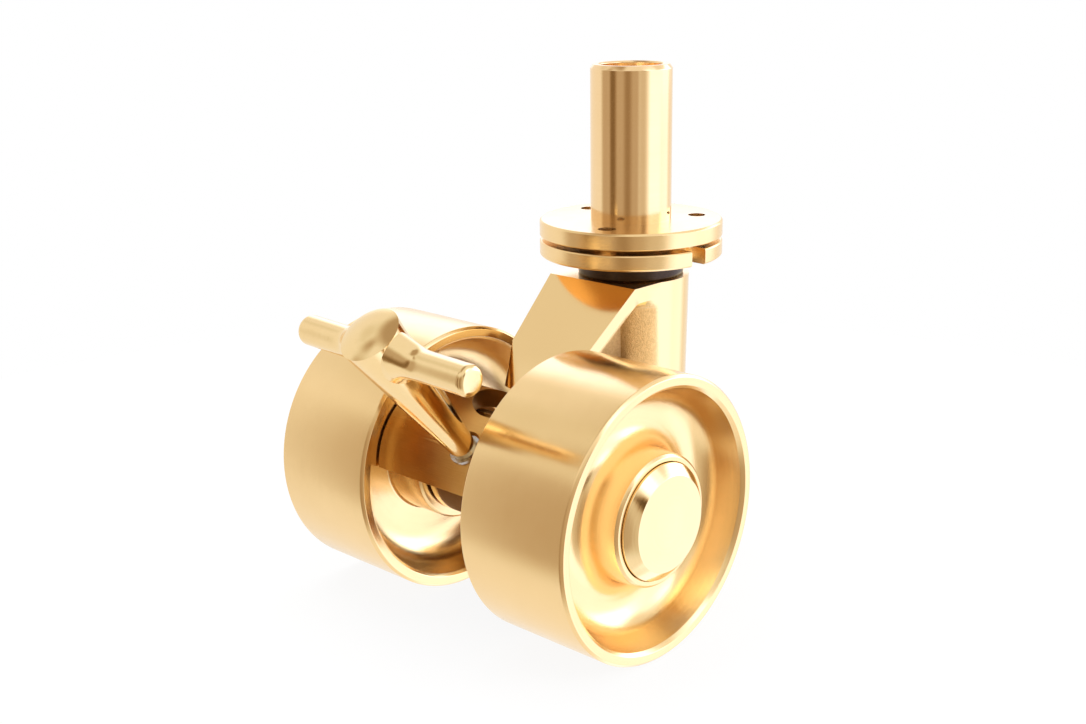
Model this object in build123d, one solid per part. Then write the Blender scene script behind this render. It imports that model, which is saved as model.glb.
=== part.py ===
from build123d import *
import os
from math import asin, cos, hypot, radians, sin

# Piano castor: a stem and leg plate fixed to the leg, a swivel plate and fork
# that turn under them on a ring of balls, two solid brass wheels on one axle,
# and a brake shoe that a T-handle screws down onto both wheel hubs.
# Millimetres, +Z up the stem, origin at the centre of the leg plate's top face,
# axle along X, handle towards -Y.

# Driving dimensions
STEM_RADIUS = 15.3
STEM_HEIGHT = 57.5
STEM_BORE_RADIUS = 12.0
STEM_BORE_DEPTH = 41.0
PLATE_RADIUS = 34.7
LEG_PLATE_THICKNESS = 6.4
PLATE_GAP = 1.5
SWIVEL_PLATE_THICKNESS = 5.9
SCREW_CIRCLE_RADIUS = 25.5
SCREW_HOLE_RADIUS = 3.3
SCREW_HEAD_RADIUS = 6.0
SCREW_ANGLES = (-70.0, 50.0, 170.0)
NOTCH_WIDTH = 7.2
NOTCH_ANGLE = -4.0
SPACER_RADIUS = 20.1
SPACER_HEIGHT = 7.2
WHEEL_RADIUS = 50.0
WHEEL_WIDTH = 46.0
WHEEL_INNER_X = 24.6
HUB_RADIUS = 23.0
AXLE_RADIUS = 6.0
AXLE_Y = -67.0
AXLE_Z = -84.6
BOSS_RADIUS = 19.6
BOSS_HALF_WIDTH = 23.3
SHOE_RADIUS = 27.8
SHOE_HALF_WIDTH = 41.5
HANDLE_ANGLE = 129.0
HANDLE_FOOT = (-22.9, 15.3)
HANDLE_TURN = -2.0
HANDLE_LENGTH = 64.2
CROSSBAR_HEIGHT = 54.0
CROSSBAR_RADIUS = 5.3
CROSSBAR_HALF_LENGTH = 42.0
HANDLE_FOOT_RADIUS = 4.6
HANDLE_HEAD_RADIUS = 10.8
DOME_HEIGHT = 2.2

# Named clearances
RUNNING = 0.05
END_PLAY = 0.25
THRUST_PLAY = 0.1
LINING_GAP = 0.7

# Levels down the swivel axis
LEG_PLATE_BOTTOM = -LEG_PLATE_THICKNESS
SWIVEL_TOP = LEG_PLATE_BOTTOM - PLATE_GAP
SWIVEL_BOTTOM = SWIVEL_TOP - SWIVEL_PLATE_THICKNESS
FORK_TOP = SWIVEL_BOTTOM - SPACER_HEIGHT

# Thrust ring between the plates
BALL_RADIUS = 3.0
BALL_COUNT = 12
TRACK_RADIUS = 15.5
RACE_HALF_WIDTH = 3.5
RACE_THICKNESS = 3.0
CAGE_THICKNESS = 0.8
CAGE_HALF_WIDTH = 4.2
BALL_LEVEL = LEG_PLATE_BOTTOM - PLATE_GAP / 2
STEM_SEAT_DEPTH = 2.5
STEM_FOOT_RADIUS = STEM_RADIUS + 0.3

# King pin, its bushes and its nut
PIN_RADIUS = 9.0
PIN_TOP = 14.0
PIN_THREAD_RADIUS = 6.0
PIN_SHOULDER = -58.2
PIN_END = -67.0
SPIGOT_RADIUS = 12.0
SPIGOT_DEPTH = 8.0
BUSH_RADIUS = 11.5
BUSH_LENGTH = 14.0
COLUMN_RADIUS = 22.3
COLUMN_FOOT_RADIUS = 21.3
COLUMN_FOOT = -72.0
NUT_ROOM_RADIUS = 14.0
NUT_ACROSS_FLATS = 19.0
KING_PLAY = 0.1
KING_WASHER_THICKNESS = 1.8
KING_NUT_THICKNESS = 6.5
FOOT_CAP_RADIUS = 16.0
FOOT_CAP_THICKNESS = 2.5

# Fork head
HEAD_FRONT_Y = -22.6
HEAD_HALF_WIDTH = 21.0
HEAD_THICKNESS = 6.0
RAMP_BEND = (-47.3, -42.2)
RAMP_HALF_WIDTH = 18.0
RAMP_THICKNESS = 6.1
TOE_LENGTH = 21.4
TOE_HALF_WIDTH = 13.35
TOE_DEPTH = 14.0
TOE_CORNER = 13.0
WEB_HALF_WIDTH = 11.0
WEB_FOOT = -66.0
WEB_FRONT = ((-46.5, -44.0), (-45.5, -58.0))
ARM_HALF_WIDTH = 14.0
ARM_FRONT = ((-44.1, -47.6), (-51.7, -57.0), (-51.8, -59.1))
ARM_BACK = ((-14.0, -71.0), (-6.0, -60.0), (-20.0, -54.0))
SHOE_CLEAR_RADIUS = 30.2

# Wheel section, measured from its inner face along the axle
INNER_WEB = 17.7
OUTER_WEB = 29.0
INNER_RIM_ROOT = 8.5
INNER_RIM_LIP = 3.8
OUTER_RIM_ROOT = 10.0
OUTER_RIM_LIP = 3.6
RIM_MOUTH = 4.8
RIM_FLARE = 1.4
HUB_DRAFT = 1.2
NUT_ROOM = 28.0
CAP_SEAT = 42.0
HUB_OUTER = 45.2
CAP_RADIUS = 20.35
CAP_RECESS_RADIUS = 20.6
CAP_PLUG_RADIUS = 14.5
CAP_PLUG_LENGTH = 4.0
CAP_FACE = 49.1
CAP_BEVEL_DEPTH = 3.2
CAP_FACE_RADIUS = 16.6
WHEEL_BUSH_RADIUS = 9.0
AXLE_END = 36.5
THRUST_WASHER_RADIUS = 13.0
AXLE_WASHER_RADIUS = 12.5
AXLE_WASHER_THICKNESS = 1.5
AXLE_NUT_ACROSS_FLATS = 18.0
AXLE_NUT_THICKNESS = 6.0
SET_SCREW_RADIUS = 2.5
SET_SCREW_DEPTH = 2.0
SET_SCREW_SOCKET = 1.25

# Brake
STUD_RADIUS = 3.0
STUD_DEPTH = 15.5
WASHER_RADIUS = 5.9
WASHER_THICKNESS = 1.2
SHOE_CORE_RADIUS = 21.2
SHOE_CORE_HALF_WIDTH = 22.8
LINING_THICKNESS = 1.5
LINING_INSET = 0.5
SHOE_START = 180.5
SHOE_END = 62.0
NOTCH_RADIUS = 16.6
NOTCH_CENTRE_ANGLE = 80.7
GUIDE_X = 15.0
GUIDE_RADIUS = 2.0
GUIDE_FOOT = -16.0
GUIDE_TOP = -4.4
GUIDE_ROOM_TOP = -3.0
SPRING_ROOM_RADIUS = 5.4
SPRING_FLOOR = 11.7
SPRING_ROOM_TOP = -5.4
DISC_COUNT = 5
DISC_THICKNESS = 0.6
DISC_CONE = 0.5
DISC_PLAY = 0.02


def turned(points, radii=None):
    """Solid turned about the X axis from an (x, r) outline."""
    if radii is None:
        outline = Polyline(*points, close=True)
    else:
        outline = FilletPolyline(*points, radius=radii, close=True)
    return revolve(make_face(outline), Axis.X, 360)


def upright(points):
    """Solid turned about the Z axis from an (r, z) outline."""
    face = make_face(Polyline(*[(r, 0, z) for r, z in points], close=True))
    return revolve(face, Axis.Z, 360)


def tube(outer, inner, bottom, top):
    """Plain upright ring between two levels."""
    return upright([(inner, bottom), (outer, bottom), (outer, top), (inner, top)])


def rod(radius, start, end):
    """Cylinder along X from start to end."""
    return Pos((start + end) / 2, 0, 0) * Rot(0, 90, 0) * Cylinder(radius, end - start)


def post(radius, bottom, top):
    """Cylinder along Z from bottom to top."""
    return Pos(0, 0, (bottom + top) / 2) * Cylinder(radius, top - bottom)


def side_plate(points, half_width, radii=None):
    """Slab across X from a (y, z) outline."""
    if radii is None:
        outline = Polyline(*points, close=True)
    else:
        outline = FilletPolyline(*points, radius=radii, close=True)
    profile = Plane.YZ * make_face(outline)
    return extrude(profile, half_width, both=True)


def at_axle(shape):
    """Shape modelled about the X axis, moved onto the axle."""
    return Pos(0, AXLE_Y, AXLE_Z) * shape


def on_side(shape, side):
    """Right-hand shape, mirrored for the left side."""
    return shape if side > 0 else mirror(shape, Plane.YZ)


def polar(radius, angle):
    """(y, z) of a point round the axle, angle from +Y towards +Z."""
    return (AXLE_Y + radius * cos(radians(angle)), AXLE_Z + radius * sin(radians(angle)))


def handle_frame(x=0.0):
    """Location at the handle's foot with its Z along the screw."""
    foot = (x, AXLE_Y + HANDLE_FOOT[0], AXLE_Z + HANDLE_FOOT[1])
    along = (0, cos(radians(HANDLE_ANGLE)), sin(radians(HANDLE_ANGLE)))
    return Location(Plane(origin=foot, x_dir=(1, 0, 0), z_dir=along))


# Held by the leg

def leg_plate():
    """Disc screwed to the leg, with three holes countersunk from below."""
    plate = upright([
        (PIN_RADIUS, LEG_PLATE_BOTTOM), (PLATE_RADIUS - 0.5, LEG_PLATE_BOTTOM),
        (PLATE_RADIUS, LEG_PLATE_BOTTOM + 0.5), (PLATE_RADIUS, -0.7),
        (PLATE_RADIUS - 0.7, 0), (STEM_FOOT_RADIUS, 0), (STEM_FOOT_RADIUS, -STEM_SEAT_DEPTH),
        (PIN_RADIUS, -STEM_SEAT_DEPTH),
    ])
    race_room = tube(TRACK_RADIUS + RACE_HALF_WIDTH, TRACK_RADIUS - RACE_HALF_WIDTH,
                     LEG_PLATE_BOTTOM, LEG_PLATE_BOTTOM + RACE_THICKNESS)
    hole = upright([
        (0, LEG_PLATE_BOTTOM), (SCREW_HEAD_RADIUS, LEG_PLATE_BOTTOM),
        (SCREW_HOLE_RADIUS, LEG_PLATE_BOTTOM + SCREW_HEAD_RADIUS - SCREW_HOLE_RADIUS),
        (SCREW_HOLE_RADIUS, 0), (0, 0),
    ])
    plate -= race_room
    for angle in SCREW_ANGLES:
        plate -= Rot(0, 0, angle) * Pos(SCREW_CIRCLE_RADIUS, 0, 0) * hole
    return plate


def leg_stem():
    """Hollow stem that stands in the leg, with its foot let into the plate."""
    return upright([
        (PIN_RADIUS, -STEM_SEAT_DEPTH), (STEM_FOOT_RADIUS, -STEM_SEAT_DEPTH),
        (STEM_FOOT_RADIUS, 0), (STEM_RADIUS, 0), (STEM_RADIUS, STEM_HEIGHT - 1.6),
        (STEM_RADIUS - 1.2, STEM_HEIGHT), (STEM_BORE_RADIUS + 0.6, STEM_HEIGHT),
        (STEM_BORE_RADIUS, STEM_HEIGHT - 0.6),
        (STEM_BORE_RADIUS, STEM_HEIGHT - STEM_BORE_DEPTH), (PIN_RADIUS, PIN_TOP),
    ])


def king_pin():
    """Steel pin that the fork turns on, pressed up into the stem."""
    return upright([
        (0, PIN_END), (PIN_THREAD_RADIUS - 0.8, PIN_END),
        (PIN_THREAD_RADIUS, PIN_END + 0.8), (PIN_THREAD_RADIUS, PIN_SHOULDER),
        (PIN_RADIUS, PIN_SHOULDER), (PIN_RADIUS, PIN_TOP), (0, PIN_TOP),
    ])


def track_groove():
    """Ring that the ball track takes out of both races."""
    section = Pos(TRACK_RADIUS, 0, BALL_LEVEL) * Rot(90, 0, 0) * Circle(BALL_RADIUS + RUNNING)
    return revolve(section, Axis.Z, 360)


def upper_race():
    """Hardened race let into the leg plate."""
    bottom = LEG_PLATE_BOTTOM
    ring = tube(TRACK_RADIUS + RACE_HALF_WIDTH, TRACK_RADIUS - RACE_HALF_WIDTH,
                bottom, bottom + RACE_THICKNESS)
    return ring - track_groove()


def lower_race():
    """Hardened race let into the swivel plate."""
    ring = tube(TRACK_RADIUS + RACE_HALF_WIDTH, TRACK_RADIUS - RACE_HALF_WIDTH,
                SWIVEL_TOP - RACE_THICKNESS, SWIVEL_TOP)
    return ring - track_groove()


def thrust_balls():
    """Ring of balls that carries the load between the plates."""
    ball = Sphere(BALL_RADIUS)
    step = 360 / BALL_COUNT
    return Compound([
        Rot(0, 0, step * index) * Pos(TRACK_RADIUS, 0, BALL_LEVEL) * ball
        for index in range(BALL_COUNT)
    ])


def ball_cage():
    """Thin ring that spaces the balls."""
    cage = tube(TRACK_RADIUS + CAGE_HALF_WIDTH, TRACK_RADIUS - CAGE_HALF_WIDTH,
                BALL_LEVEL - CAGE_THICKNESS / 2, BALL_LEVEL + CAGE_THICKNESS / 2)
    hole = post(BALL_RADIUS + 2 * RUNNING, SWIVEL_TOP, LEG_PLATE_BOTTOM)
    step = 360 / BALL_COUNT
    for index in range(BALL_COUNT):
        cage -= Rot(0, 0, step * index) * Pos(TRACK_RADIUS, 0, 0) * hole
    return cage


def king_washer():
    """Steel washer under the lower bush."""
    top = PIN_SHOULDER - KING_PLAY
    return tube(NUT_ROOM_RADIUS - 1.2, PIN_THREAD_RADIUS, top - KING_WASHER_THICKNESS, top)


def hex_nut(across_flats, bore, thickness):
    """Nut standing on the XY plane."""
    blank = extrude(RegularPolygon(across_flats / 2, 6, major_radius=False), thickness)
    crown = upright([(0, 0), (across_flats / 2 - 0.3, 0), (across_flats / 2 + 0.75, 1.0),
                     (across_flats / 2 + 0.75, thickness - 1.0),
                     (across_flats / 2 - 0.3, thickness), (0, thickness)])
    return (blank & crown) - post(bore, -1, thickness + 1)


def king_nut():
    """Lock nut that holds the fork up on the pin."""
    base = PIN_SHOULDER - KING_PLAY - KING_WASHER_THICKNESS - KING_NUT_THICKNESS
    return Pos(0, 0, base) * hex_nut(NUT_ACROSS_FLATS, PIN_THREAD_RADIUS, KING_NUT_THICKNESS)


# Turning with the fork

def swivel_plate():
    """Lower disc, notched so that a driver reaches each leg screw in turn."""
    disc = upright([
        (PIN_RADIUS + RUNNING, FORK_TOP - SPIGOT_DEPTH), (SPIGOT_RADIUS, FORK_TOP - SPIGOT_DEPTH),
        (SPIGOT_RADIUS, SWIVEL_BOTTOM), (PLATE_RADIUS - 0.7, SWIVEL_BOTTOM),
        (PLATE_RADIUS, SWIVEL_BOTTOM + 0.7), (PLATE_RADIUS, SWIVEL_TOP - 0.5),
        (PLATE_RADIUS - 0.5, SWIVEL_TOP), (PIN_RADIUS + RUNNING, SWIVEL_TOP),
    ])
    disc -= tube(TRACK_RADIUS + RACE_HALF_WIDTH, TRACK_RADIUS - RACE_HALF_WIDTH,
                 SWIVEL_TOP - RACE_THICKNESS, SWIVEL_TOP)
    middle = (SWIVEL_TOP + SWIVEL_BOTTOM) / 2
    slot_depth = PLATE_RADIUS - SCREW_CIRCLE_RADIUS + 1
    slot = Pos(SCREW_CIRCLE_RADIUS + slot_depth / 2, 0, middle) * Box(slot_depth, NOTCH_WIDTH, 10)
    slot += Pos(SCREW_CIRCLE_RADIUS, 0, 0) * post(NOTCH_WIDTH / 2, middle - 5, middle + 5)
    disc -= Rot(0, 0, NOTCH_ANGLE) * slot
    return disc - dowel_hole()


def dowel_hole():
    """Room for the dowel through swivel plate, spacer and fork."""
    return Rot(0, 0, 90) * Pos(16.5, 0, 0) * post(1.5, FORK_TOP - 6, SWIVEL_BOTTOM + 2)


def spacer_ring():
    """Dark ring between the swivel plate and the fork."""
    ring = upright([
        (SPIGOT_RADIUS, FORK_TOP), (SPACER_RADIUS - 0.6, FORK_TOP),
        (SPACER_RADIUS, FORK_TOP + 0.6), (SPACER_RADIUS, SWIVEL_BOTTOM - 0.6),
        (SPACER_RADIUS - 0.6, SWIVEL_BOTTOM), (SPIGOT_RADIUS, SWIVEL_BOTTOM),
    ])
    return ring - dowel_hole()


def plate_dowel():
    """Steel dowel that keys the swivel plate to the fork."""
    return dowel_hole()


def fork_head():
    """Head plate and ramp, narrowing downwards."""
    run = HEAD_FRONT_Y - RAMP_BEND[0]
    drop = FORK_TOP - RAMP_BEND[1]
    slope = hypot(run, drop)
    back_y = RAMP_THICKNESS * drop / slope
    back_z = RAMP_THICKNESS * run / slope
    head_under = FORK_TOP - HEAD_THICKNESS
    inner_bend = (RAMP_BEND[0] + back_y, RAMP_BEND[1] - back_z)
    corner_y = HEAD_FRONT_Y + back_y + (FORK_TOP - back_z - head_under) * -run / drop
    outline = [
        (0, FORK_TOP), (HEAD_FRONT_Y, FORK_TOP), RAMP_BEND, inner_bend,
        (corner_y, head_under), (0, head_under),
    ]
    head = side_plate(outline, HEAD_HALF_WIDTH, [0, 0, 0, 0, 5, 0])
    low = 2 * RAMP_BEND[1]
    front = [
        (-HEAD_HALF_WIDTH, FORK_TOP), (HEAD_HALF_WIDTH, FORK_TOP),
        (RAMP_HALF_WIDTH, RAMP_BEND[1]), (RAMP_HALF_WIDTH, low),
        (-RAMP_HALF_WIDTH, low), (-RAMP_HALF_WIDTH, RAMP_BEND[1]),
    ]
    taper = extrude(Plane.XZ * make_face(Polyline(*front, close=True)), -2 * RAMP_BEND[0])
    return head & taper


def ramp_toe():
    """Lower end of the ramp, whose front corners grow into a round nose."""
    run = RAMP_BEND[0] - HEAD_FRONT_Y
    drop = RAMP_BEND[1] - FORK_TOP
    slope = hypot(run, drop)
    along = (0, run / slope, drop / slope)
    sections = []
    for reach, half_width, depth, corner in (
            (0, RAMP_HALF_WIDTH, RAMP_THICKNESS, 0.4),
            (TOE_LENGTH, TOE_HALF_WIDTH, TOE_DEPTH, TOE_CORNER)):
        middle = (0, RAMP_BEND[0] + reach * along[1], RAMP_BEND[1] + reach * along[2])
        outline = FilletPolyline(
            (-half_width, -depth), (half_width, -depth), (half_width, 0), (-half_width, 0),
            radius=[0, 0, corner, corner], close=True)
        sections.append(Plane(origin=middle, x_dir=(1, 0, 0), z_dir=along) * make_face(outline))
    return loft(sections, ruled=True)


def fork_arm():
    """Lower arm from the column down behind the shoe to the boss."""
    outline = [
        *ARM_FRONT, polar(SHOE_CLEAR_RADIUS, 52), polar(SHOE_CORE_RADIUS - 2.5, 50),
        (AXLE_Y, AXLE_Z), polar(BOSS_RADIUS, -62), polar(BOSS_RADIUS + 12, -24), *ARM_BACK,
    ]
    return side_plate(outline, ARM_HALF_WIDTH, [0, 2, 0, 0, 0, 0, 0, 12, 0, 0, 8])


def fork_casting():
    """One brass casting: head, ramp, column, web, lower arm and axle boss."""
    column = upright([
        (0, COLUMN_FOOT), (COLUMN_FOOT_RADIUS - 1.5, COLUMN_FOOT),
        (COLUMN_FOOT_RADIUS, COLUMN_FOOT + 1.5), (COLUMN_RADIUS, FORK_TOP), (0, FORK_TOP),
    ])
    web = side_plate([(0, FORK_TOP - 1), (HEAD_FRONT_Y - 1.4, FORK_TOP - 3), *WEB_FRONT,
                      (0, WEB_FOOT)], WEB_HALF_WIDTH)
    boss = at_axle(rod(BOSS_RADIUS, -BOSS_HALF_WIDTH, BOSS_HALF_WIDTH))
    shoe_room = at_axle(rod(SHOE_CLEAR_RADIUS, -30, 30) - rod(BOSS_RADIUS, -31, 31))
    sector = shoe_room & side_plate(
        [(AXLE_Y, AXLE_Z), polar(60, 52), polar(90, 90), polar(90, 140), polar(60, 200)], 40)
    body = column + fork_head() + ramp_toe() + web + fork_arm() - sector + boss
    body -= post(SPIGOT_RADIUS, FORK_TOP - SPIGOT_DEPTH, FORK_TOP + 1)
    body -= post(BUSH_RADIUS, PIN_SHOULDER + 0.2, FORK_TOP)
    body -= post(NUT_ROOM_RADIUS, COLUMN_FOOT + FOOT_CAP_THICKNESS, PIN_SHOULDER + 0.2)
    body -= post(FOOT_CAP_RADIUS, COLUMN_FOOT - 1, COLUMN_FOOT + FOOT_CAP_THICKNESS)
    body -= dowel_hole()
    body -= at_axle(rod(AXLE_RADIUS, -40, 40))
    body -= Pos(0, AXLE_Y, AXLE_Z) * post(SET_SCREW_RADIUS, -BOSS_RADIUS - 10, 0)
    body -= handle_frame() * post(STUD_RADIUS + RUNNING, -STUD_DEPTH - 1.5, 0)
    body -= handle_frame() * post(SPRING_ROOM_RADIUS, -SPRING_FLOOR, 0)
    for x in (-GUIDE_X, GUIDE_X):
        body -= handle_frame(x) * post(GUIDE_RADIUS, GUIDE_FOOT, 0)
    return body


def bush(top):
    """Bronze bush for the king pin, hanging from a level."""
    return tube(BUSH_RADIUS, PIN_RADIUS + RUNNING, top - BUSH_LENGTH, top)


def foot_cap():
    """Disc that closes the column's foot."""
    return upright([(0, COLUMN_FOOT), (FOOT_CAP_RADIUS - 0.8, COLUMN_FOOT),
                    (FOOT_CAP_RADIUS, COLUMN_FOOT + 0.8),
                    (FOOT_CAP_RADIUS, COLUMN_FOOT + FOOT_CAP_THICKNESS),
                    (0, COLUMN_FOOT + FOOT_CAP_THICKNESS)])


def axle():
    """Steel axle through the boss, with chamfered threaded ends."""
    end = WHEEL_INNER_X + AXLE_END
    return at_axle(turned([(-end, 0), (-end, AXLE_RADIUS - 0.8), (-end + 0.8, AXLE_RADIUS),
                           (end - 0.8, AXLE_RADIUS), (end, AXLE_RADIUS - 0.8), (end, 0)]))


def axle_set_screw():
    """Grub screw up through the boss onto the axle."""
    mouth = SET_SCREW_DEPTH - BOSS_RADIUS
    screw = post(SET_SCREW_RADIUS, mouth, -AXLE_RADIUS)
    socket = extrude(Pos(0, 0, mouth) * RegularPolygon(SET_SCREW_SOCKET, 6), 3)
    return Pos(0, AXLE_Y, AXLE_Z) * (screw - socket)


def thrust_washer(side):
    """Washer between the boss and a wheel hub."""
    end = WHEEL_INNER_X - THRUST_PLAY
    ring = turned([(BOSS_HALF_WIDTH, AXLE_RADIUS), (BOSS_HALF_WIDTH, THRUST_WASHER_RADIUS),
                   (end, THRUST_WASHER_RADIUS), (end, AXLE_RADIUS)])
    return on_side(at_axle(ring), side)


def axle_washer(side):
    """Washer outside a wheel bush, under the axle nut."""
    start = WHEEL_INNER_X + NUT_ROOM + END_PLAY
    end = start + AXLE_WASHER_THICKNESS
    ring = turned([(start, AXLE_RADIUS), (start, AXLE_WASHER_RADIUS),
                   (end, AXLE_WASHER_RADIUS), (end, AXLE_RADIUS)])
    return on_side(at_axle(ring), side)


def axle_nut(side):
    """Nut on the axle's end, inside the hub."""
    start = WHEEL_INNER_X + NUT_ROOM + END_PLAY + AXLE_WASHER_THICKNESS
    blank = hex_nut(AXLE_NUT_ACROSS_FLATS, AXLE_RADIUS, AXLE_NUT_THICKNESS)
    nut = Pos(start, 0, 0) * Rot(0, 90, 0) * blank
    return on_side(at_axle(nut), side)


# Wheels

def wheel(side):
    """Solid brass wheel: tread, rim, deep recess on both faces, long hub."""
    inner_root = WHEEL_RADIUS - INNER_RIM_ROOT
    outer_root = WHEEL_RADIUS - OUTER_RIM_ROOT
    mouth = WHEEL_RADIUS - RIM_MOUTH
    outline = [
        (0.0, WHEEL_BUSH_RADIUS), (0.0, HUB_RADIUS - 0.8), (0.8, HUB_RADIUS),
        (INNER_WEB, HUB_RADIUS), (INNER_WEB, inner_root), (RIM_FLARE, mouth),
        (0.0, WHEEL_RADIUS - INNER_RIM_LIP), (0.0, WHEEL_RADIUS - 1.0), (1.0, WHEEL_RADIUS),
        (WHEEL_WIDTH - 1.0, WHEEL_RADIUS), (WHEEL_WIDTH, WHEEL_RADIUS - 1.0),
        (WHEEL_WIDTH, WHEEL_RADIUS - OUTER_RIM_LIP), (WHEEL_WIDTH - RIM_FLARE, mouth),
        (OUTER_WEB, outer_root), (OUTER_WEB, HUB_RADIUS + HUB_DRAFT),
        (HUB_OUTER - 1.0, HUB_RADIUS), (HUB_OUTER, HUB_RADIUS - 1.0),
        (HUB_OUTER, CAP_RECESS_RADIUS), (CAP_SEAT, CAP_RECESS_RADIUS),
        (CAP_SEAT, CAP_PLUG_RADIUS), (NUT_ROOM, CAP_PLUG_RADIUS), (NUT_ROOM, WHEEL_BUSH_RADIUS),
    ]
    inner_sweep = min(12.0, 0.66 * (inner_root - HUB_RADIUS))
    outer_room = outer_root - HUB_RADIUS - HUB_DRAFT
    outer_sweep = min(11.0, 0.69 * outer_room)
    hub_sweep = min(7.0, 0.44 * outer_room)
    radii = [0, 0, 0, 1.0, inner_sweep, 0.6, 0, 0.6, 0.6, 0.6, 0.6, 0, 0.6, outer_sweep,
             hub_sweep, 0.6, 0.6, 0, 0, 0, 0, 0]
    body = Pos(WHEEL_INNER_X, 0, 0) * turned(outline, radii)
    return on_side(at_axle(body), side)


def wheel_bush(side):
    """Bronze bush pressed in the wheel, running on the axle."""
    ring = turned([(0.1, AXLE_RADIUS + RUNNING), (0.1, WHEEL_BUSH_RADIUS),
                   (NUT_ROOM, WHEEL_BUSH_RADIUS), (NUT_ROOM, AXLE_RADIUS + RUNNING)])
    return on_side(at_axle(Pos(WHEEL_INNER_X, 0, 0) * ring), side)


def hub_cap(side):
    """Polished cap with a broad chamfer, plugged into the hub."""
    plug = CAP_SEAT - CAP_PLUG_LENGTH
    bevel = CAP_FACE - CAP_BEVEL_DEPTH
    cap = turned([(plug, 0), (plug, CAP_PLUG_RADIUS - 0.6), (plug + 0.6, CAP_PLUG_RADIUS),
                  (CAP_SEAT, CAP_PLUG_RADIUS), (CAP_SEAT, CAP_RADIUS), (bevel, CAP_RADIUS),
                  (CAP_FACE, CAP_FACE_RADIUS), (CAP_FACE, 0)],
                 [0, 0, 0, 0, 0, 0.5, 0.7, 0])
    return on_side(at_axle(Pos(WHEEL_INNER_X, 0, 0) * cap), side)


# Brake

def shoe_shell(outer, inner, half_width):
    """Part of a cylinder round the axle, over the shoe's angle."""
    ring = at_axle(rod(outer, -half_width, half_width) - rod(inner, -half_width - 1, half_width + 1))
    middle = (SHOE_START + SHOE_END) / 2
    fan = [(AXLE_Y, AXLE_Z), polar(90, SHOE_END), polar(120, middle - 25),
           polar(120, middle + 25), polar(90, SHOE_START)]
    return ring & side_plate(fan, half_width + 1)


def lining_inner():
    """Inside radius of the linings with the brake off."""
    return HUB_RADIUS + LINING_GAP


def brake_shoe():
    """Curved brass saddle over both hubs, with a round relief above."""
    shoe = shoe_shell(SHOE_RADIUS, lining_inner() + LINING_THICKNESS, SHOE_HALF_WIDTH)
    shoe += shoe_shell(SHOE_RADIUS, SHOE_CORE_RADIUS, SHOE_CORE_HALF_WIDTH)
    outwards = (0, cos(radians(NOTCH_CENTRE_ANGLE)), sin(radians(NOTCH_CENTRE_ANGLE)))
    relief = Location(Plane(origin=(0, AXLE_Y, AXLE_Z), x_dir=(1, 0, 0), z_dir=outwards))
    shoe -= relief * post(NOTCH_RADIUS, 5, 60)
    frame = handle_frame()
    shoe -= frame * post(WASHER_RADIUS + 0.7, -WASHER_THICKNESS, 12)
    shoe -= frame * post(STUD_RADIUS + RUNNING, -20, 5)
    shoe -= frame * post(SPRING_ROOM_RADIUS + 0.4, -20, SPRING_ROOM_TOP)
    for x in (-GUIDE_X, GUIDE_X):
        shoe -= handle_frame(x) * post(GUIDE_RADIUS + RUNNING, -20, GUIDE_ROOM_TOP)
    return shoe


def brake_lining(side):
    """Friction lining inside the shoe, over one wheel hub."""
    inner = lining_inner()
    ring = shoe_shell(inner + LINING_THICKNESS, inner, SHOE_HALF_WIDTH - 0.5)
    span = rod(2 * SHOE_RADIUS, WHEEL_INNER_X + LINING_INSET, SHOE_HALF_WIDTH)
    return ring & on_side(at_axle(span), side)


def guide_pins():
    """Two dowels in the boss that keep the shoe square on its travel."""
    return Compound([handle_frame(x) * post(GUIDE_RADIUS, GUIDE_FOOT, GUIDE_TOP)
                     for x in (-GUIDE_X, GUIDE_X)])


def disc_springs():
    """Dished springs, stacked edge to edge, that lift the shoe off the hubs."""
    outer = SPRING_ROOM_RADIUS - 0.2
    inner = STUD_RADIUS + 0.2
    rings = []
    for index in range(DISC_COUNT):
        base = -SPRING_FLOOR + DISC_PLAY + index * (DISC_THICKNESS + DISC_CONE + DISC_PLAY)
        low_edge, high_edge = (outer, inner) if index % 2 == 0 else (inner, outer)
        dish = upright([
            (low_edge, base), (high_edge, base + DISC_CONE),
            (high_edge, base + DISC_CONE + DISC_THICKNESS), (low_edge, base + DISC_THICKNESS),
        ])
        rings.append(handle_frame() * dish)
    return Compound(rings)


def crossbar_root(side):
    """Gusset from the head's rim down onto one arm, flush under the rim."""
    top = HANDLE_LENGTH + 1.0
    bottom = CROSSBAR_HEIGHT - CROSSBAR_RADIUS - 0.7
    start = 0.84 * HANDLE_HEAD_RADIUS
    end = 1.67 * HANDLE_HEAD_RADIUS
    root_plane = Plane(origin=(start, 0, (top + bottom) / 2), x_dir=(0, 1, 0), z_dir=(1, 0, 0))
    arm_plane = Plane(origin=(end, 0, CROSSBAR_HEIGHT), x_dir=(0, 1, 0), z_dir=(1, 0, 0))
    root = root_plane * Ellipse(1.22 * CROSSBAR_RADIUS, (top - bottom) / 2)
    arm = arm_plane * Circle(CROSSBAR_RADIUS)
    gusset = loft([root, arm], ruled=True) + extrude(root, -start)
    return on_side(gusset & post(2 * end, 0, HANDLE_LENGTH - 0.1), side)


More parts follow.
